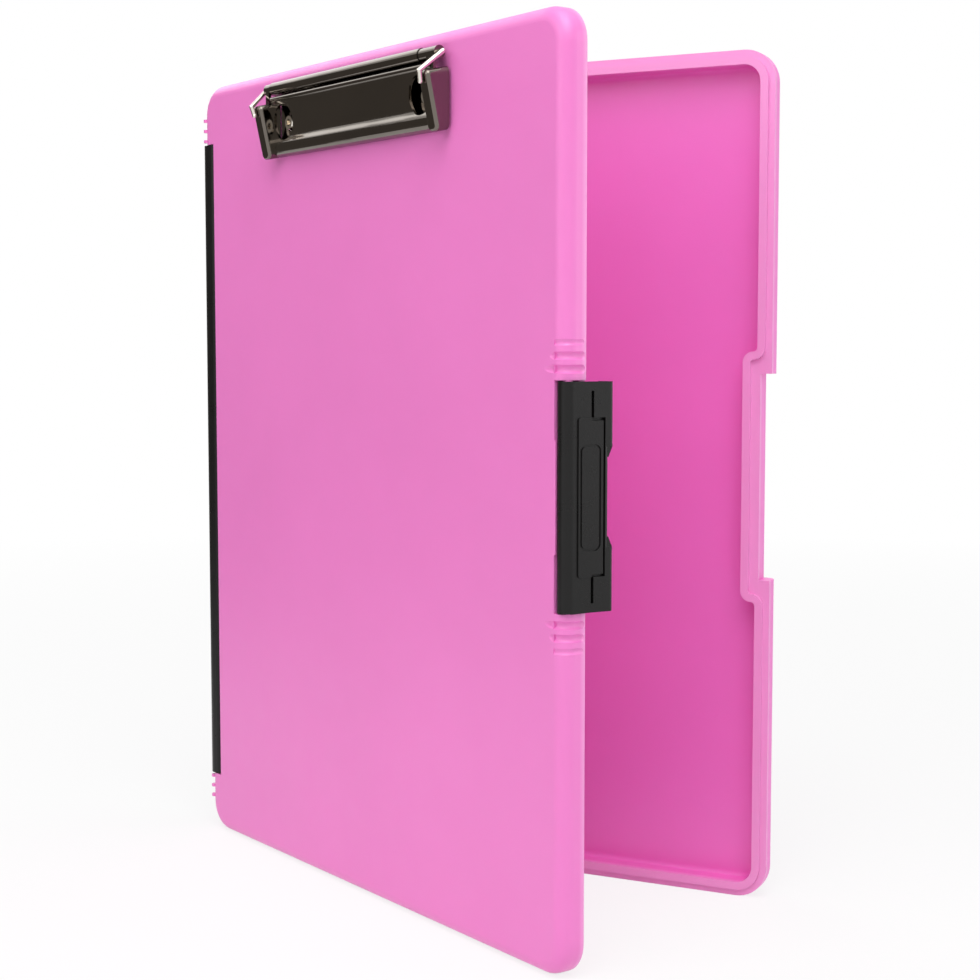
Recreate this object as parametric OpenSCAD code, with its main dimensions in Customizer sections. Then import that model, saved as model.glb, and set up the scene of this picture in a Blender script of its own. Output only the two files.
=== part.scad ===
// Storage clipboard box: two shallow plastic shells that open like a book, standing on their lower edge.
// X runs along the back tray from the spine to the latch edge, Y points to the tray's back, Z is up.
// The origin is the middle of the flat strip that the back tray stands on.

/* [Box] */
// Height of the box as it stands
box_h = 317.5; // [310:0.5:330]
// Width from the spine to the latch edge
box_w = 246; // [236:1:256]
// Thickness of the closed box
box_t = 19; // [19:0.5:21]
// Corner radius, seen from the front
corner_r = 12; // [11:0.5:14]
// Rounding between the large faces and the sides
edge_r = 5; // [4.5:0.1:5.5]
// Thickness of the large panels
panel_t = 2; // [1.6:0.1:2.2]
// Thickness of the cover's side walls
wall_t = 2.2; // [2:0.1:2.3]
// Gap between the closed rims
rim_gap = 0.2; // [0.1:0.05:0.3]
// Rounding of the cover's rim, on its outside
rim_r = 0.5; // [0.4:0.1:1]
// How far the cover stands open, in degrees
open_angle = 27; // [0:1:150]

/* [Closing lip] */
// Width of the lip on the tray's rim
lip_w = 2.95; // [2.8:0.05:3]
// How far the lip stands over the parting plane
lip_h = 1.1; // [0.8:0.1:1.3]
// Distance from the tray's side to the inside of the lip
lip_in = 5.4; // [5.3:0.05:5.5]
// Inside rounding between the tray's walls and its panel
floor_r = 2; // [1:0.5:2.5]

/* [Spine hinge] */
// Distance from the box's ends to the hinge strip
strip_end = 24.25; // [23.75:0.25:33.75]
// Radius of the hinge rods
rod_r = 2.2; // [2.1:0.05:2.25]
// Radial running clearance round all rods
rod_gap = 0.1; // [0.06:0.01:0.1]
// Wall of the strip's hooks
hook_t = 1.9; // [1.8:0.05:1.95]
// How far the strip stands out of the spine
strip_proud = 1.2; // [1:0.1:1.3]
// Thickness of the strip between its hooks
strip_t = 1.8; // [1.6:0.1:1.9]
// Free space round the hooks
hook_room = 0.2; // [0.15:0.05:0.3]
// Width of a rod support
support_w = 4; // [3:0.5:5]

/* [Latch] */
// Length of the latch
latch_len = 75; // [74:0.5:77]
// Height of the latch's middle above the box's middle
latch_rise = 1.3; // [-3:0.05:5]
// Radius of the latch rod
latch_rod_r = 1.6; // [1.5:0.05:1.65]
// Wall of the latch's hook
latch_hook_t = 1.6; // [1.5:0.05:1.65]
// Thickness of the latch's plate
latch_t = 1.8; // [1.6:0.1:1.8]
// How far the latch stands out of the side
latch_proud = 1.2; // [1:0.1:1.3]
// Angle by which the latch stands away from its snapped place
latch_rest = 6; // [6:1:90]
// Reach of the latch's catch lips behind the rail
catch_w = 5; // [4.8:0.1:5]
// Height of the raised pad on the latch
pad_h = 0.5; // [0.3:0.1:0.7]

/* [Paper clip] */
// Length of the jaw across the cover
jaw_w = 122; // [120:0.2:124]
// Distance of the clip's hinge axis from the box's top
clip_drop = 8.1; // [7.9:0.1:9.5]
// Distance of the clip's hinge axis from the cover's face
clip_axis_h = 3; // [2.9:0.1:3.2]
// Thickness of the clip's steel
steel_t = 1; // [0.9:0.1:1]
// Radius of the spring wire
wire_r = 0.9; // [0.8:0.05:0.9]
// Radius of the base's rolled knuckle
tube_r = 2.6; // [2.4:0.1:2.7]
// Distance of the two rivets from the clip's middle
rivet_x = 47.5; // [46.9:0.1:47.5]
// Radius of a rivet's shank
rivet_r = 1.9; // [1.7:0.1:2]

/* [Hidden] */
$fn = 64;
pink = [0.88, 0.31, 0.69];
black = [0.13, 0.13, 0.13];
nickel = [0.72, 0.69, 0.66];
shell_t = box_t / 2;
foot_y = (rim_gap / 2 + shell_t - edge_r) / 2;
cut = 2;
hook_r = rod_r + rod_gap + hook_t;
rod_x = 4.8;
rod_d = shell_t - hook_r;
relief_r = rod_d - 0.15;
pocket_r = hook_r + hook_room;
pocket_x = rod_x + pocket_r;
mouth_x = rod_x - 1.4;
spine_wall = pocket_x + wall_t;
strip_len = box_h - 2 * strip_end;
strip_end_gap = 0.3;
strip_mouth_r = hook_r + 1.3;
support_offsets = strip_len * [0.1063, 0.2193, 0.4112];
support_r = pocket_r + 0.2;
window_w = support_w + 0.8;
support_a = [-110, -53];
strip_notch_a = [-40, 45];
strip_mouth_a = [-130, -35];
spine_rib_w = 1.2;
spine_rib_r = edge_r + 1.6;
spine_rib_a = [122, 143];
spine_rib_top = shell_t - 0.05;
spine_rib_start = 1.9;
rib_pitch = 4.3;
latch_z = box_h / 2 + latch_rise;
latch_hook_r = latch_rod_r + rod_gap + latch_hook_t;
latch_x = box_w + latch_proud - latch_hook_r;
latch_d = shell_t - latch_hook_r;
latch_pocket_r = latch_hook_r + hook_room;
latch_slot_x = latch_x - 2.3;
latch_slot_end = latch_x - 2.85;
latch_slot_step = 18.6;
latch_end_gap = 0.4;
latch_rod_end = 0.6;
latch_support_z = 16.7;
latch_support_r = latch_pocket_r + 0.2;
latch_support_a = [231, 290];
latch_notch_a = [140, 240];
latch_mouth_a = [50, 145];
latch_edge_r = 1.2;
middle_cut = 1.9;
middle_half = 13;
middle_slant = 3.4;
catch_from = 18;
catch_t = 1.6;
catch_in = catch_w + 0.6;
groove_r = 1.5;
groove_z = latch_len / 2 + 4;
groove_end = [10, 7, 3.3];
groove_lift = [0.5, 0.65, 1.1];
groove_stop = 2.1;
bay_step = 5.6;
bay_half = 46.8;
bay_convex_r = 4;
rail_x = box_w - 4.4;
rail_t = 7.7;
rail_back_x = box_w - lip_in - bay_step + lip_w;
rail_end_gap = 1.1;
rail_r = 1.2;
slit_half = 25.4;
slit_y = [5.15, 6.2];
slit_turn = [0.75, 1.8];
slit_w = 1;
slit_tail = 9.1;
slit_depth = 1.3;
pad_y = [-4.4, 5.2];
pad_half = 25.9;
pad_r = 1;
ring_y = [-3.9, 4.2];
ring_half = 17.3;
ring_w = 0.8;
ring_r = 2.4;
ring_depth = 0.4;
clip_x = box_w / 2;
clip_z = box_h - clip_drop;
rivet_d = 13.6;
rivet_gap = 0.1;
rivet_head_r = [3.2, 2.6];
rivet_head_h = 1;
rivet_tail_r = 2.9;
rivet_tail_h = 0.7;
rivet_bore_r = 1.3;
rivet_bore_z = 0.5;
washer_r = 5;
washer_t = 0.8;
base_t = 0.9;
base_half = 54.4;
base_front = 23;
base_back = 6.5;
base_lap = 0.5;
tube_x = [-56.2, 47.6];
knuckle_r = 2.3;
knuckle_x = [[-60.9, -56.5], [47.9, 58]];
arm_x = [[-59.2, -56.7], [53, 57.5]];
pod_w = 6;
pod_mid = [-17.25, 8.36];
pod_tilt = 12.5;
pod_len = 21.1;
pod_depth = 13;
pod_foot = 1.2;
pod_corner_r = 2;
pod_edge_r = 1.5;
arm_end = 6.2;
jaw_hole_r = 7;
jaw_hole_z = 1;
bead_r = 1.1;
jaw_flat = [[4.4, 4.6], [17.5, 3.15]];
jaw_a0 = atan2(jaw_flat[1][1] - jaw_flat[0][1], jaw_flat[1][0] - jaw_flat[0][0]);
jaw_a1 = 32;
jaw_a2 = -82;
jaw_foot = 0.8;
valley_r = 5;
crest_r = 3.4;
valley_c = jaw_flat[1] + valley_r * [-sin(jaw_a0), cos(jaw_a0)];
crest_c = valley_c + (valley_r + crest_r) * [sin(jaw_a1), -cos(jaw_a1)];
lip_top = crest_c + crest_r * [-sin(jaw_a2), cos(jaw_a2)];
lip_end = lip_top + (lip_top[1] - jaw_foot) * [cos(jaw_a2), sin(jaw_a2)];
leg_end = [-10.6, 11];
leg_bend = [-7.2, 11.9];
leg_x = 1.9;
leg_in = 0.7;
joint_r = wire_r + 0.05;
joint_in = 0.1;

// Points of an arc
function arc(c, r, a0, a1, n) =
    [for (i = [0:n]) let(a = a0 + (a1 - a0) * i / n) c + r * [cos(a), sin(a)]];

// Sector of a disc between two angles
module sector(r, a0, a1, steps = 8) {
    polygon(concat([[0, 0]], arc([0, 0], r, a0, a1, steps)));
}

// Turns its children by an angle about a vertical axis
module turn_about(x, y, a) {
    translate([x, y, 0]) rotate([0, 0, a]) translate([-x, -y, 0]) children();
}

module place_tray() {
    translate([-box_w / 2, -foot_y, 0]) children();
}

module place_strip() {
    place_tray() turn_about(rod_x, rod_d, -open_angle / 2) children();
}

module place_cover() {
    place_strip() turn_about(rod_x, -rod_d, -open_angle / 2) children();
}

module place_latch() {
    place_cover() turn_about(latch_x, -latch_d, -latch_rest) children();
}

// A shell is drawn lying on its rim: X across, Y up the standing box, Z outwards from the parting plane
module stand_cover() {
    place_cover() rotate([90, 0, 0]) children();
}

module stand_tray() {
    place_tray() mirror([0, 1, 0]) rotate([90, 0, 0]) children();
}

// Extrudes an X-Z section up the box
module along_height(y0, y1) {
    translate([0, y1, 0]) rotate([90, 0, 0]) linear_extrude(y1 - y0) children();
}

// Extrudes a Y-Z section across the box
module along_width(x0, x1) {
    translate([x0, 0, 0]) rotate([90, 0, 90]) linear_extrude(x1 - x0) children();
}

// Section through a plate's edge, with its outer side at 0 and its face at the given depth
module edge_section(run, depth, r, foot) {
    intersection() {
        union() {
            translate([r, 0]) square([run - r, depth]);
            translate([0, foot]) square([run, depth - r - foot]);
            translate([r, depth - r]) circle(r);
            if (foot > 0) {
                translate([foot, 0]) square([run - foot, depth - r]);
                translate([foot, foot]) circle(foot);
            }
        }
        square([run, depth]);
    }
}

// The same section with the middle of a round corner at 0
module corner_section(rc, depth, r, foot) {
    intersection() {
        translate([rc, 0]) mirror([1, 0]) edge_section(rc, depth, r, foot);
        square([rc, depth]);
    }
}

// Plate with round corners, a rounded edge round its outer face and, with a foot, one round its lower side
module round_plate(x0, x1, y0, y1, depth, rc, r, foot = 0) {
    corners = [
        [x1 - rc, y1 - rc, 0], [x0 + rc, y1 - rc, 90], [x0 + rc, y0 + rc, 180], [x1 - rc, y0 + rc, 270]
    ];
    for (c = corners)
        translate([c[0], c[1], 0]) rotate([0, 0, c[2]])
            rotate_extrude(angle = 90) corner_section(rc, depth, r, foot);
    along_height(y0 + rc, y1 - rc) translate([x0, 0]) edge_section(rc, depth, r, foot);
    along_height(y0 + rc, y1 - rc) translate([x1, 0]) mirror([1, 0]) edge_section(rc, depth, r, foot);
    along_width(x0 + rc, x1 - rc) translate([y0, 0]) edge_section(rc, depth, r, foot);
    along_width(x0 + rc, x1 - rc) translate([y1, 0]) mirror([1, 0]) edge_section(rc, depth, r, foot);
    translate([x0 + rc, y0 + rc, 0]) cube([x1 - x0 - 2 * rc, y1 - y0 - 2 * rc, depth]);
}

// Plan of a rectangle with round corners
module round_plan(x0, x1, y0, y1, rc) {
    translate([x0 + rc, y0]) square([x1 - x0 - 2 * rc, y1 - y0]);
    translate([x0, y0 + rc]) square([x1 - x0, y1 - y0 - 2 * rc]);
    for (x = [x0 + rc, x1 - rc], y = [y0 + rc, y1 - rc])
        translate([x, y]) circle(rc);
}

// Plan of the block behind the latch, where the walls step inwards; grow moves it towards the latch
module bay_plan(grow) {
    r1 = bay_convex_r - grow;
    r2 = bay_step - bay_convex_r + grow;
    wall_x = box_w - lip_in + grow;
    half = bay_half - grow;
    difference() {
        union() {
            round_plan(wall_x - bay_step, wall_x + bay_step, latch_z - half, latch_z + half, r1);
            translate([wall_x - r2, latch_z - half - r2]) square([2 * r2, 2 * (half + r2)]);
        }
        for (s = [-1, 1])
            translate([wall_x - r2, latch_z + s * (half + r2)]) circle(r2);
    }
}

// Body of a shell, without its hollow
module shell_body(foot) {
    translate([0, 0, rim_gap / 2])
        round_plate(0, box_w, 0, box_h, shell_t - rim_gap / 2, corner_r, edge_r, foot);
}

// Hollow of a shell with the given wall thickness
module shell_hollow(wall, r, grow) {
    difference() {
        translate([0, 0, -cut])
            round_plate(spine_wall, box_w - wall, wall, box_h - wall,
                shell_t - panel_t + cut, corner_r - wall, r);
        translate([0, 0, -2 * cut]) linear_extrude(shell_t + 2 * cut) bay_plan(grow);
    }
}

// Space that the hinge strip turns in
module spine_pocket() {
    y0 = strip_end - strip_end_gap;
    along_height(y0, y0 + strip_len + 2 * strip_end_gap) {
        translate([rod_x, rod_d]) circle(pocket_r);
        translate([-cut, rod_d]) square([pocket_x + cut, shell_t]);
        translate([-cut, -cut]) square([mouth_x + cut, rod_d + 2 * cut]);
    }
}

// Cut that lets the outer part of a rim turn past the other shell
module spine_relief() {
    along_height(-cut, box_h + cut) difference() {
        translate([-cut, -cut]) square([rod_x + cut, rod_d + cut]);
        translate([rod_x, rod_d]) circle(relief_r);
    }
}

// Hinge rod of a shell with its supports
module spine_rod() {
    translate([rod_x, strip_end - 1, rod_d]) rotate([-90, 0, 0]) cylinder(r = rod_r, h = strip_len + 2);
    for (s = [-1, 1], d = support_offsets)
        along_height(box_h / 2 + s * d - support_w / 2, box_h / 2 + s * d + support_w / 2)
            translate([rod_x, rod_d]) sector(support_r, support_a[0], support_a[1]);
}

// Three ribs on the spine's rounded edge, starting at a height and going up
module spine_ribs(y) {
    for (i = [0:2])
        along_height(y + i * rib_pitch - spine_rib_w / 2, y + i * rib_pitch + spine_rib_w / 2)
            intersection() {
                translate([edge_r, shell_t - edge_r]) sector(spine_rib_r, spine_rib_a[0], spine_rib_a[1]);
                translate([-edge_r, 0]) square([2 * edge_r, spine_rib_top]);
            }
}

module spine_side() {
    spine_rod();
    spine_ribs(strip_end - spine_rib_start - 2 * rib_pitch);
    spine_ribs(box_h - strip_end + spine_rib_start);
}

// Round groove over the cover's latch edge: a straight run that starts at nothing, the edge and the side
module edge_groove(y, run, lift) {
    edge_x = box_w - edge_r;
    top = shell_t + lift;
    turn = edge_r + lift;
    dx = run - edge_r;
    dz = groove_r - lift;
    if (dx > 0)
        translate([edge_x, y, top]) rotate([0, -90 + atan2(dz, dx), 0])
            cylinder(r = groove_r, h = norm([dx, dz]));
    translate([edge_x, y, shell_t - edge_r]) rotate([90, 0, 0]) rotate_extrude(angle = 90)
        translate([turn, 0]) circle(groove_r);
    translate([box_w + lift, y, groove_stop]) cylinder(r = groove_r, h = shell_t - edge_r - groove_stop);
    translate([box_w + lift, y, groove_stop]) sphere(groove_r);
}

// Three grooves beyond each end of the latch, each shorter and shallower than the last
module edge_grooves() {
    for (s = [-1, 1], i = [0:2])
        edge_groove(latch_z + s * (groove_z + i * rib_pitch), groove_end[i], groove_lift[i]);
}

// Block over the tray's rim that the hollow turns into a raised lip along three sides
module lip_block() {
    wall = lip_in - lip_w;
    translate([0, 0, -lip_h]) linear_extrude(lip_h + cut) difference() {
        round_plan(wall, box_w - wall, wall, box_h - wall, corner_r - wall);
        bay_plan(lip_w);
        square([spine_wall + corner_r, box_h]);
    }
}

// Space beside and behind the tray's catch rail
module rail_cut() {
    half = latch_len / 2 + rail_end_gap;
    along_height(latch_z - half, latch_z + half) {
        translate([rail_x, -cut]) square([box_w, shell_t + 2 * cut]);
        translate([rail_back_x, rail_t]) square([box_w, shell_t]);
        difference() {
            translate([rail_x - rail_r, rail_t - rail_r]) square(2 * rail_r);
            translate([rail_x - rail_r, rail_t - rail_r]) circle(rail_r);
        }
    }
}

module back_tray() {
    color(pink) stand_tray() difference() {
        union() {
            difference() {
                union() {
                    shell_body(0);
                    lip_block();
                }
                shell_hollow(lip_in, floor_r, 0);
                spine_pocket();
                rail_cut();
            }
            spine_side();
        }
        spine_relief();
    }
}

// Space that the latch's hook turns in
module latch_pocket() {
    half = latch_len / 2 + latch_end_gap;
    along_height(latch_z - half, latch_z + half) {
        translate([latch_x, latch_d]) circle(latch_pocket_r);
        translate([latch_slot_x, latch_d]) square([box_w, shell_t]);
        translate([latch_x, latch_d - latch_pocket_r]) square([box_w, shell_t]);
        translate([box_w - 1, -cut]) square([box_w, shell_t + 2 * cut]);
    }
    for (s = [-1, 1])
        along_height(latch_z + (s > 0 ? latch_slot_step : -half), latch_z + (s > 0 ? half : -latch_slot_step))
            translate([latch_slot_end, latch_d]) square([box_w, shell_t]);
}

// Latch rod of the cover with its two supports
module latch_rod() {
    half = latch_len / 2 + latch_end_gap + latch_rod_end;
    translate([latch_x, latch_z - half, latch_d]) rotate([-90, 0, 0]) cylinder(r = latch_rod_r, h = 2 * half);
    for (s = [-1, 1]) {
        mid = latch_z + s * latch_support_z;
        along_height(mid - support_w / 2, mid + support_w / 2)
            translate([latch_x, latch_d]) sector(latch_support_r, latch_support_a[0], latch_support_a[1]);
    }
}

module front_cover() {
    color(pink) stand_cover() difference() {
        union() {
            difference() {
                shell_body(rim_r);
                shell_hollow(wall_t, edge_r - panel_t, lip_in - wall_t);
                spine_pocket();
                latch_pocket();
            }
            latch_rod();
            spine_side();
        }
        spine_relief();
        edge_grooves();
        for (s = [-1, 1])
            translate([clip_x + s * rivet_x, clip_z - rivet_d, 0])
                cylinder(r = rivet_r + rivet_gap, h = shell_t + cut);
    }
}

// Section of the hinge strip: two hooks and the plate between them
module strip_section() {
    difference() {
        union() {
            for (s = [-1, 1]) {
                translate([rod_x, s * rod_d]) circle(hook_r);
                translate([hook_r - strip_proud, s * rod_d]) circle(hook_r);
                translate([hook_r - strip_proud, s * rod_d - hook_r])
                    square([rod_x - hook_r + strip_proud, 2 * hook_r]);
            }
            translate([-strip_proud, -rod_d]) square([strip_t, 2 * rod_d]);
        }
        for (s = [0, 1])
            mirror([0, s]) translate([rod_x, rod_d]) {
                circle(rod_r + rod_gap);
                sector(strip_mouth_r, strip_mouth_a[0], strip_mouth_a[1]);
            }
    }
}

module spine_hinge() {
    color(black) place_strip() difference() {
        translate([0, 0, strip_end]) linear_extrude(strip_len) strip_section();
        for (s = [-1, 1], d = support_offsets, m = [0, 1])
            translate([0, 0, box_h / 2 + s * d - window_w / 2]) mirror([0, m, 0])
                translate([rod_x, rod_d, 0]) linear_extrude(window_w)
                    sector(hook_r + 1, strip_notch_a[0], strip_notch_a[1]);
    }
}

// Section of the latch: hook, plate and catch lip
module latch_section(reach, catch) {
    face = box_w + latch_proud;
    difference() {
        union() {
            difference() {
                translate([latch_x, -latch_d]) circle(latch_hook_r);
                translate([latch_x, -latch_d]) sector(latch_hook_r + 1, latch_mouth_a[0], latch_mouth_a[1]);
            }
            translate([face - latch_t, -latch_d]) square([latch_t, reach + latch_d - latch_edge_r]);
            translate([face - latch_t, reach - catch_t]) square([latch_t - latch_edge_r, catch_t]);
            translate([face - latch_edge_r, reach - latch_edge_r]) circle(latch_edge_r);
            if (catch)
                translate([box_w - catch_in, reach - catch_t]) square([catch_w, catch_t]);
        }
        translate([latch_x, -latch_d]) circle(latch_rod_r + rod_gap);
    }
}

// Plan of the slit round the latch's pad, in the latch's Y-Z plane about its middle
module latch_slit() {
    translate([slit_y[0], -slit_half]) square([slit_y[1] - slit_y[0], 2 * slit_half]);
    for (s = [-1, 1]) {
        translate([slit_turn[0], s * slit_half - slit_w / 2]) square([slit_y[1] - slit_turn[0], slit_w]);
        translate([slit_turn[0], s > 0 ? slit_half : -slit_half - slit_tail])
            square([slit_turn[1] - slit_turn[0], slit_tail]);
    }
}

// Extrudes a Y-Z plan outwards through the latch's plate
module through_latch(x0, x1) {
    translate([x0, 0, latch_z]) rotate([90, 0, 90]) linear_extrude(x1 - x0) children();
}

// Raised pad with a ring groove
module latch_pad() {
    face = box_w + latch_proud;
    difference() {
        through_latch(face - latch_t / 2, face + pad_h)
            round_plan(pad_y[0], pad_y[1], -pad_half, pad_half, pad_r);
        through_latch(face + pad_h - ring_depth, face + cut) difference() {
            round_plan(ring_y[0], ring_y[1], -ring_half, ring_half, ring_r);
            inner = ring_half - ring_w;
            round_plan(ring_y[0] + ring_w, ring_y[1] - ring_w, -inner, inner, ring_r - ring_w);
        }
    }
}

// Slanted ends of the recess in the middle of the latch's free edge
module latch_slants() {
    low = shell_t - middle_cut - 1;
    for (s = [0, 1])
        mirror([0, s])
            polygon([[low, middle_half], [low + 1, middle_half], [shell_t - 0.4, middle_half + middle_slant],
                [shell_t - 0.4, middle_half + middle_slant + 1], [low, middle_half + middle_slant + 1]]);
}

module latch() {
    half = latch_len / 2;
    full_from = middle_half + middle_slant;
    color(black) place_latch() difference() {
        union() {
            translate([0, 0, latch_z - half]) linear_extrude(latch_len)
                latch_section(shell_t - middle_cut, false);
            for (s = [-1, 1]) {
                translate([0, 0, s > 0 ? latch_z + full_from : latch_z - half])
                    linear_extrude(half - full_from) latch_section(shell_t, false);
                translate([0, 0, s > 0 ? latch_z + catch_from : latch_z - half])
                    linear_extrude(half - catch_from) latch_section(shell_t, true);
            }
            through_latch(box_w + latch_proud - latch_t + 0.1, box_w + latch_proud - 0.2) latch_slants();
            latch_pad();
        }
        through_latch(box_w + latch_proud - slit_depth, box_w + latch_proud + cut) latch_slit();
        for (s = [-1, 1])
            translate([latch_x, -latch_d, latch_z + s * latch_support_z - window_w / 2])
                linear_extrude(window_w) sector(latch_hook_r + 0.4, latch_notch_a[0], latch_notch_a[1]);
    }
}

// The clip is drawn like the cover: Z is its height over the cover's face, Y is up
module stand_clip() {
    stand_cover() translate([clip_x, clip_z, shell_t]) children();
}

module along_axis(x0, x1, r) {
    translate([x0, 0, clip_axis_h]) rotate([0, 90, 0]) cylinder(r = r, h = x1 - x0);
}

module clip_base() {
    color(nickel) stand_clip() difference() {
        union() {
            translate([-base_half, -base_front, 0]) cube([2 * base_half, base_front - base_back, base_t]);
            translate([-base_half, -base_back - base_lap, 0])
                cube([base_half + tube_x[1], base_back + base_lap, base_t]);
            along_axis(tube_x[0], tube_x[1], tube_r);
        }
        along_axis(tube_x[0] - cut, tube_x[1] + cut, wire_r + rod_gap);
        for (s = [-1, 1])
            translate([s * rivet_x, -rivet_d, -cut]) cylinder(r = rivet_r + rivet_gap, h = 2 * cut);
    }
}

// One side of the jaw's sheet, t/2 over or under its middle line: a flat, a valley and the turned-down front
function jaw_side(t) = concat(
    [jaw_flat[0] + t / 2 * [-sin(jaw_a0), cos(jaw_a0)]],
    arc(valley_c, valley_r - t / 2, jaw_a0 - 90, jaw_a1 - 90, 10),
    arc(crest_c, crest_r + t / 2, jaw_a1 + 90, jaw_a2 + 90, 20),
    [lip_end + t / 2 * [-sin(jaw_a2), cos(jaw_a2)]]
);

function reversed(p) = [for (i = [len(p) - 1:-1:0]) p[i]];

module jaw_section() {
    mirror([1, 0]) {
        polygon(concat(jaw_side(steel_t), reversed(jaw_side(-steel_t))));
        translate(jaw_flat[0]) circle(bead_r);
        translate(lip_end) circle(steel_t / 2);
    }
}

// Raised hollow pod at one end of the jaw; its top slopes down towards the front
module jaw_pod(x0, x1) {
    t = steel_t;
    half = pod_len / 2;
    difference() {
        translate([0, pod_mid[0], pod_mid[1]]) rotate([pod_tilt, 0, 0]) difference() {
            translate([0, 0, -pod_depth])
                round_plate(x0, x1, -half, half, pod_depth, pod_corner_r, pod_edge_r);
            translate([0, 0, -pod_depth - cut])
                round_plate(x0 + t, x1 - t, t - half, half - t, pod_depth - t + cut,
                    pod_corner_r - t, pod_edge_r - t);
        }
        translate([x0 - cut, -2 * pod_len, pod_foot - 2 * pod_depth])
            cube([x1 - x0 + 2 * cut, 3 * pod_len, 2 * pod_depth]);
    }
}

module clip_jaw() {
    half = jaw_w / 2;
    plate_half = half - pod_w + steel_t / 2;
    color(nickel) stand_clip() difference() {
        union() {
            along_width(-plate_half, plate_half) jaw_section();
            jaw_pod(-half, pod_w - half);
            jaw_pod(half - pod_w, half);
            for (k = knuckle_x)
                along_axis(k[0], k[1], knuckle_r);
            for (a = arm_x)
                translate([a[0], -arm_end, clip_axis_h + knuckle_r - steel_t])
                    cube([a[1] - a[0], arm_end, steel_t]);
        }
        for (k = knuckle_x)
            along_axis(k[0] - 1, k[1] + 1, wire_r + rod_gap);
        for (s = [-1, 1])
            translate([s * rivet_x, -rivet_d, jaw_hole_z]) cylinder(r = jaw_hole_r, h = pod_mid[1]);
    }
}

// Straight piece of wire between two joints
module wire(a, b) {
    d = b - a;
    len_ab = norm(d);
    translate(a + joint_in * d / len_ab) rotate([0, acos(d[2] / len_ab), atan2(d[1], d[0])])
        cylinder(r = wire_r, h = len_ab - 2 * joint_in);
}

module clip_spring() {
    x0 = knuckle_x[0][0] - leg_x;
    x1 = knuckle_x[1][1] + leg_x;
    end = jaw_w / 2 - pod_w / 2;
    path = [
        [-end, leg_end[0], leg_end[1]], [-end - leg_in, leg_bend[0], leg_bend[1]], [x0, 0, clip_axis_h],
        [x1, 0, clip_axis_h], [end + leg_in, leg_bend[0], leg_bend[1]], [end, leg_end[0], leg_end[1]]
    ];
    color(nickel) stand_clip() {
        $fn = 36;
        for (i = [0:len(path) - 2])
            wire(path[i], path[i + 1]);
        for (p = path)
            translate(p) sphere(joint_r);
    }
}

module clip_rivets() {
    tail = panel_t + washer_t + rivet_tail_h;
    color(nickel) stand_clip() for (s = [-1, 1])
        translate([s * rivet_x, -rivet_d, 0]) difference() {
            union() {
                translate([0, 0, -tail]) cylinder(r = rivet_r, h = tail + base_t + rivet_head_h / 2);
                translate([0, 0, base_t])
                    cylinder(r1 = rivet_head_r[0], r2 = rivet_head_r[1], h = rivet_head_h);
                translate([0, 0, -tail]) cylinder(r = rivet_tail_r, h = rivet_tail_h);
            }
            translate([0, 0, -rivet_bore_z]) cylinder(r = rivet_bore_r, h = 2 * cut);
        }
}

module rivet_washers() {
    color(nickel) stand_clip() for (s = [-1, 1])
        translate([s * rivet_x, -rivet_d, -panel_t - washer_t]) difference() {
            cylinder(r = washer_r, h = washer_t);
            translate([0, 0, -cut]) cylinder(r = rivet_r + rivet_gap, h = 2 * cut);
        }
}

back_tray();
front_cover();
spine_hinge();
latch();
clip_base();
clip_jaw();
clip_spring();
clip_rivets();
rivet_washers();
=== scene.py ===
"""Storage clipboard box: camera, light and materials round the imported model.

Lengths are in metres, angles in degrees, lamp powers in watts and colours linear.
"""
import math

import bpy
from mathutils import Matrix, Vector


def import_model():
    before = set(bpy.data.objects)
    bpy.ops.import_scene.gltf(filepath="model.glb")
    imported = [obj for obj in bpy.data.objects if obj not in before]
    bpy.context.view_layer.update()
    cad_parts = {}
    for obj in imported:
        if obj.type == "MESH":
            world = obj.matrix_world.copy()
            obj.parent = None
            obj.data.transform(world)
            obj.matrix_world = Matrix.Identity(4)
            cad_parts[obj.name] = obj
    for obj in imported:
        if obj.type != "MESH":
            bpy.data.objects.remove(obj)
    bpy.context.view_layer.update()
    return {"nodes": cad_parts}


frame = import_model()

# The camera, from the outlines of both shells in the photograph
CAMERA_AT = (0.331821, -0.647253, 0.20922)
CAMERA_DOWN = 4.582
CAMERA_PAN = 26.789
CAMERA_LENS_MM = 66.41
SENSOR_MM = 36.0
CLIP_START = 0.05
CLIP_END = 50.0

# Colours
# Both shells are one plastic; the cover's paler pink is painted sheen for the light it catches
# from the left
COVER_PINK_PAINTED_SHEEN = (0.87, 0.215, 0.6)
TRAY = (0.88, 0.18, 0.605)
# Paler pink painted along the rims as a highlight
RIM_HIGHLIGHT_PINK = (0.9, 0.33, 0.68)
BLACK = (0.007, 0.0065, 0.0065)
# Nickel of the clip's base and jaw darkened as a painted dark reflection of the surroundings; the
# spring, rivets and washers keep plain bright nickel
NICKEL_PAINTED_DARK = (0.17, 0.15, 0.13)
PLAIN_NICKEL = (0.8, 0.75, 0.68)
WHITE = (1.0, 1.0, 1.0)
FLOOR_GREY = (0.9, 0.9, 0.9)
CARD_TONE = (0.16, 0.145, 0.13)

# Noise patterns: scale, detail and roughness
PLASTIC_TINT = (14.0, 3.0, 0.5)
PLASTIC_RUBBING = (90.0, 6.0, 0.65)
SHELL_GRAIN = (2600.0, 2.0, 0.5)
BLACK_GRAIN = (3200.0, 2.0, 0.5)
NICKEL_TONE = (30.0, 2.0, 0.5)
NICKEL_POLISH = (700.0, 3.0, 0.6)
NICKEL_WAVES = (55.0, 1.0, 0.4)

# The middle of a noise, which is spread over the whole of a tint or a roughness
WIDE_MIDDLE = (0.3, 0.7)
NARROW_MIDDLE = (0.35, 0.65)

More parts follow.
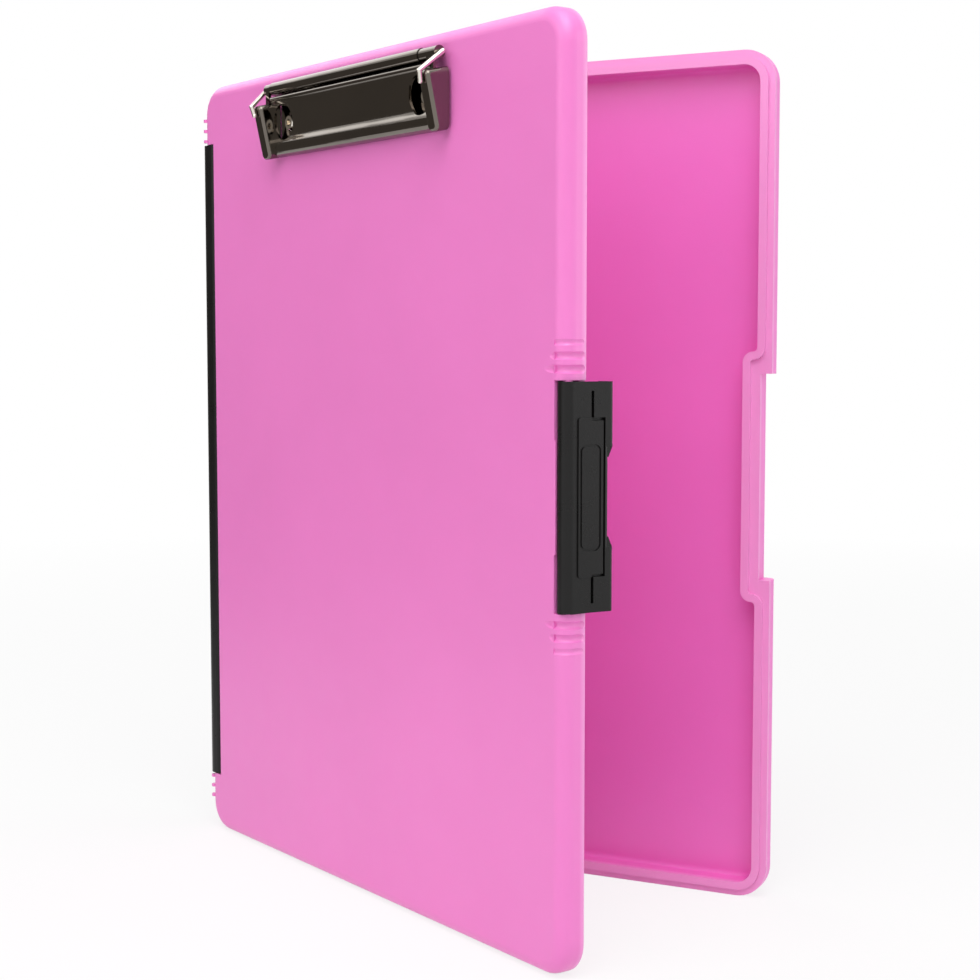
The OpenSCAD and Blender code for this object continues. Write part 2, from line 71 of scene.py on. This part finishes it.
# Moulded plastic: roughness, grain, change of tint, gloss, and the light under the surface
SHELL_ROUGH = 0.38
BLACK_ROUGH = 0.3
RUBBED_CHANGE = 0.05
SHELL_GRAIN_STRENGTH = 0.18
BLACK_GRAIN_STRENGTH = 0.25
GRAIN_DEPTH = 0.0002
SHELL_MOTTLE = 0.02
BLACK_MOTTLE = 0.08
PLASTIC_IOR = 1.58
PLAIN_SPECULAR = 0.5
BLACK_SPECULAR = 0.2
SHELL_GLOW = 0.06
GLOW_REACH = (1.0, 0.35, 0.6)
GLOW_SCALE = 0.002

# Planes of both rims at rest, each as its place along the direction across its shell, then the
# depth below them where the painted highlight on the rims, a paler pink, starts and the depths
# where it is full
OPEN_ANGLE = 27
COVER_RIM = -0.055996
TRAY_RIM = -0.0023
RIM_HIGHLIGHT_DEPTH = 0.0024
COVER_RIM_HIGHLIGHT_FULL = 0.0008
TRAY_RIM_HIGHLIGHT_FULL = 0.0004

# Nickel plate: roughness, the shares by which tone and roughness change, and the waves
PRESSED_ROUGH = 0.1
DRAWN_ROUGH = 0.12
TONE_SHARES = (0.92, 1.06)
POLISH_SHARES = (0.7, 1.3)
WAVE_STRENGTH = 0.12
WAVE_DEPTH = 0.002

# Surroundings
WORLD_STRENGTH = 0.25
FLOOR_HALF = 6.0
FADE_FROM = 0.15
FADE_TO = 1.3
FADE_SHARE = 0.8
CARD_X = -0.6
CARD_Y = (-0.7, 0.35)
CARD_Z = (0.0, 0.5)

# Softboxes: name, place, aim, side and power
MIDDLE = (0, 0, 0.16)
SOFTBOXES = (
    ("front_softbox", (-0.85, -1.6, 1.05), (0, 0, 0.15), 1.1, 7.9),
    ("top_softbox", (0.45, -0.9, 1.4), MIDDLE, 1.2, 14),
    ("over_softbox", (0.15, -0.3, 1.3), MIDDLE, 1.0, 5),
    ("right_back_softbox", (1.4, 0.5, 0.5), MIDDLE, 1.0, 5.7),
    ("left_back_softbox", (-1.3, 0.6, 0.9), MIDDLE, 1.0, 4),
)


def opaque(colour):
    return (*colour, 1)


def scaled(colour, share):
    """The colour with each channel times share, and no channel over 1."""
    return [min(1.0, c * share) for c in colour]


def put_in_scene(name, data):
    obj = bpy.data.objects.new(name, data)
    bpy.context.scene.collection.objects.link(obj)
    return obj


def one_face(name, corners, mat):
    """A single face of stage, with its material."""
    mesh = bpy.data.meshes.new(name)
    mesh.from_pydata(corners, [], [tuple(range(len(corners)))])
    mesh.materials.append(mat)
    return put_in_scene(name, mesh)


def camera():
    data = bpy.data.cameras.new("camera")
    data.sensor_width = SENSOR_MM
    data.lens = CAMERA_LENS_MM
    data.clip_start = CLIP_START
    data.clip_end = CLIP_END
    obj = put_in_scene("camera", data)
    obj.location = CAMERA_AT
    obj.rotation_euler = (math.radians(90 - CAMERA_DOWN), 0.0, math.radians(CAMERA_PAN))
    bpy.context.scene.camera = obj


def softbox(name, at, aim, side, power):
    data = bpy.data.lights.new(name, "AREA")
    data.shape = "SQUARE"
    data.size = side
    data.energy = power
    obj = put_in_scene(name, data)
    obj.location = at
    obj.rotation_euler = (Vector(aim) - Vector(at)).to_track_quat("-Z", "Y").to_euler()


class Nodes:
    """Short calls for building one node tree."""

    def __init__(self, owner):
        owner.use_nodes = True
        self.tree = owner.node_tree
        self.tree.nodes.clear()

    def add(self, kind, **settings):
        """A node with its properties and inputs set; _ stands for a space in an input's name."""
        node = self.tree.nodes.new(kind)
        for key, value in settings.items():
            if hasattr(node, key):
                setattr(node, key, value)
            else:
                node.inputs[key.replace("_", " ")].default_value = value
        return node

    def link(self, out, to):
        self.tree.links.new(out, to)

    def largest(self, first, second):
        node = self.add("ShaderNodeMath", operation="MAXIMUM")
        self.link(first, node.inputs[0])
        self.link(second, node.inputs[1])
        return node.outputs[0]

    def seen_rays(self):
        """1 for what the camera, metal and glass see, and 0 for diffuse light."""
        path = self.add("ShaderNodeLightPath").outputs
        seen = self.largest(path["Is Camera Ray"], path["Is Glossy Ray"])
        return self.largest(seen, path["Is Transmission Ray"])

    def noise(self, where, pattern):
        scale, detail, rough = pattern
        node = self.add("ShaderNodeTexNoise", Scale=scale, Detail=detail, Roughness=rough)
        self.link(where, node.inputs["Vector"])
        return node.outputs["Fac"]

    def ramp(self, value, places, colours):
        node = self.add("ShaderNodeValToRGB")
        for element, place, colour in zip(node.color_ramp.elements, places, colours):
            element.position = place
            element.color = opaque(colour)
        self.link(value, node.inputs["Fac"])
        return node.outputs["Color"]

    def spread(self, value, old, new=(0.0, 1.0)):
        """The value with the range old stretched over new, and nothing outside new."""
        node = self.add("ShaderNodeMapRange", From_Min=old[0], From_Max=old[1],
                        To_Min=new[0], To_Max=new[1])
        self.link(value, node.inputs["Value"])
        return node.outputs["Result"]

    def bump(self, height, strength, depth):
        node = self.add("ShaderNodeBump", Strength=strength, Distance=depth)
        self.link(height, node.inputs["Height"])
        return node.outputs["Normal"]

    def mix(self, share, first, second):
        node = self.add("ShaderNodeMixShader")
        self.link(share, node.inputs[0])
        self.link(first.outputs[0], node.inputs[1])
        self.link(second.outputs[0], node.inputs[2])
        return node.outputs[0]


def material(name):
    """A new material, its nodes and the input of its surface."""
    mat = bpy.data.materials.new(name)
    n = Nodes(mat)
    return mat, n, n.add("ShaderNodeOutputMaterial").inputs["Surface"]


def principled(name):
    """A new material of one Principled shader, with its nodes and the object's coordinates."""
    mat, n, surface = material(name)
    shader = n.add("ShaderNodeBsdfPrincipled")
    n.link(shader.outputs["BSDF"], surface)
    return mat, n, shader, n.add("ShaderNodeTexCoord").outputs["Object"]


def plastic(name, colour, rough, grain, grain_strength, mottle,
            glow=0.0, specular=PLAIN_SPECULAR, rim_highlight_band=None):
    """Moulded plastic: a fine grain, a slow change of colour, and rubbed patches in its roughness.

    The rim band is a direction and the two distances along it between which the plastic is
    painted paler, a painted highlight along the rims.
    """
    mat, n, shader, where = principled(name)
    colours = (scaled(colour, 1 - mottle), scaled(colour, 1 + mottle))
    base = n.ramp(n.noise(where, PLASTIC_TINT), WIDE_MIDDLE, colours)
    if rim_highlight_band:
        along, *depths = rim_highlight_band
        depth = n.add("ShaderNodeVectorMath", operation="DOT_PRODUCT")
        depth.inputs[1].default_value = along
        n.link(where, depth.inputs[0])
        # Painted highlight: paler pink from one depth below the rim plane to the other
        rim_highlight = n.add("ShaderNodeMixRGB", Color2=opaque(RIM_HIGHLIGHT_PINK))
        n.link(n.spread(depth.outputs["Value"], depths), rim_highlight.inputs["Fac"])
        n.link(base, rim_highlight.inputs["Color1"])
        base = rim_highlight.outputs["Color"]
    n.link(base, shader.inputs["Base Color"])
    rubbing = (rough - RUBBED_CHANGE, rough + RUBBED_CHANGE)
    rubbed = n.spread(n.noise(where, PLASTIC_RUBBING), WIDE_MIDDLE, rubbing)
    n.link(rubbed, shader.inputs["Roughness"])
    relief = n.bump(n.noise(where, grain), grain_strength, GRAIN_DEPTH)
    n.link(relief, shader.inputs["Normal"])
    shader.inputs["IOR"].default_value = PLASTIC_IOR
    shader.inputs["Specular IOR Level"].default_value = specular
    if glow:
        shader.inputs["Subsurface Weight"].default_value = glow
        shader.inputs["Subsurface Radius"].default_value = GLOW_REACH
        shader.inputs["Subsurface Scale"].default_value = GLOW_SCALE
    return mat


def shell_plastic(name, colour, rim_highlight_band):
    return plastic(name, colour, SHELL_ROUGH, SHELL_GRAIN, SHELL_GRAIN_STRENGTH, SHELL_MOTTLE,
                   glow=SHELL_GLOW, rim_highlight_band=rim_highlight_band)


def nickel_plate(name, colour, rough):
    """Nickel on steel: a slow change of tone, fine polishing marks and waves of the pressing."""
    mat, n, shader, where = principled(name)
    shader.inputs["Metallic"].default_value = 1.0
    tones = [scaled(colour, share) for share in TONE_SHARES]
    n.link(n.ramp(n.noise(where, NICKEL_TONE), NARROW_MIDDLE, tones), shader.inputs["Base Color"])
    polish = [rough * share for share in POLISH_SHARES]
    gloss = n.spread(n.noise(where, NICKEL_POLISH), WIDE_MIDDLE, polish)
    n.link(gloss, shader.inputs["Roughness"])
    relief = n.bump(n.noise(where, NICKEL_WAVES), WAVE_STRENGTH, WAVE_DEPTH)
    n.link(relief, shader.inputs["Normal"])
    return mat


def give(nodes, mat):
    """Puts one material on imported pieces."""
    for node in nodes:
        obj = frame["nodes"][node]
        obj.data.materials.clear()
        obj.data.materials.append(mat)


def world():
    """Soft grey light from all round; the camera, metal and glass see white."""
    w = bpy.data.worlds.new("world")
    bpy.context.scene.world = w
    n = Nodes(w)
    surface = n.add("ShaderNodeOutputWorld").inputs["Surface"]
    light = n.add("ShaderNodeBackground", Color=opaque(WHITE), Strength=WORLD_STRENGTH)
    white = n.add("ShaderNodeBackground", Color=opaque(WHITE), Strength=1.0)
    n.link(n.mix(n.seen_rays(), light, white), surface)


def floor():
    """Pale floor that keeps the object's shadow and fades to white further out."""
    mat, n, surface = material("pale_floor")
    matt = n.add("ShaderNodeBsdfDiffuse", Color=opaque(FLOOR_GREY))
    glow = n.add("ShaderNodeEmission", Color=opaque(WHITE), Strength=1.0)
    away = n.add("ShaderNodeVectorMath", operation="LENGTH")
    n.link(n.add("ShaderNodeTexCoord").outputs["Object"], away.inputs[0])
    fade = n.spread(away.outputs["Value"], (FADE_FROM, FADE_TO), (FADE_SHARE, 1.0))
    share = n.add("ShaderNodeMath", operation="MULTIPLY")
    n.link(n.seen_rays(), share.inputs[0])
    n.link(fade, share.inputs[1])
    n.link(n.mix(share.outputs[0], matt, glow), surface)
    h = FLOOR_HALF
    one_face("floor", [(-h, -h, 0), (h, -h, 0), (h, h, 0), (-h, h, 0)], mat)


def left_card():
    """Dark card that only reflections see, so that metal and black plastic mirror a dark side."""
    mat, n, surface = material("left_card")
    glow = n.add("ShaderNodeEmission", Color=opaque(CARD_TONE), Strength=1.0)
    n.link(glow.outputs[0], surface)
    (front, back), (foot, top) = CARD_Y, CARD_Z
    obj = one_face("left_card", [(CARD_X, front, foot), (CARD_X, back, foot),
                                 (CARD_X, back, top), (CARD_X, front, top)], mat)
    obj.visible_camera = False
    obj.visible_diffuse = False
    obj.visible_transmission = False
    obj.visible_shadow = False


bpy.context.scene.view_settings.view_transform = "Standard"
camera()
world()
floor()
for row in SOFTBOXES:
    softbox(*row)
left_card()

turn = math.radians(OPEN_ANGLE)
cover_across = (math.sin(turn), math.cos(turn), 0.0)
tray_across = (0.0, 1.0, 0.0)
# Painted highlight bands along the rims of both shells
cover_rim_highlight = (cover_across, COVER_RIM - RIM_HIGHLIGHT_DEPTH, COVER_RIM - COVER_RIM_HIGHLIGHT_FULL)
tray_rim_highlight = (tray_across, TRAY_RIM + RIM_HIGHLIGHT_DEPTH, TRAY_RIM + TRAY_RIM_HIGHLIGHT_FULL)
# The cover's material carries the painted sheen of its paler pink
cover = shell_plastic("cover_polypropylene_painted_sheen", COVER_PINK_PAINTED_SHEEN, cover_rim_highlight)
tray = shell_plastic("tray_polypropylene", TRAY, tray_rim_highlight)
black = plastic("black_polypropylene", BLACK, BLACK_ROUGH, BLACK_GRAIN, BLACK_GRAIN_STRENGTH,
                BLACK_MOTTLE, specular=BLACK_SPECULAR)
# Base and jaw get nickel darkened as a painted dark reflection
darkened_nickel = nickel_plate("nickel_plate", NICKEL_PAINTED_DARK, PRESSED_ROUGH)
drawn = nickel_plate("bright_nickel", PLAIN_NICKEL, DRAWN_ROUGH)
give(["back_tray"], tray)
give(["front_cover"], cover)
give(["spine_hinge", "latch"], black)
give(["clip_base", "clip_jaw"], darkened_nickel)
give(["clip_spring", "clip_rivets", "rivet_washers"], drawn)
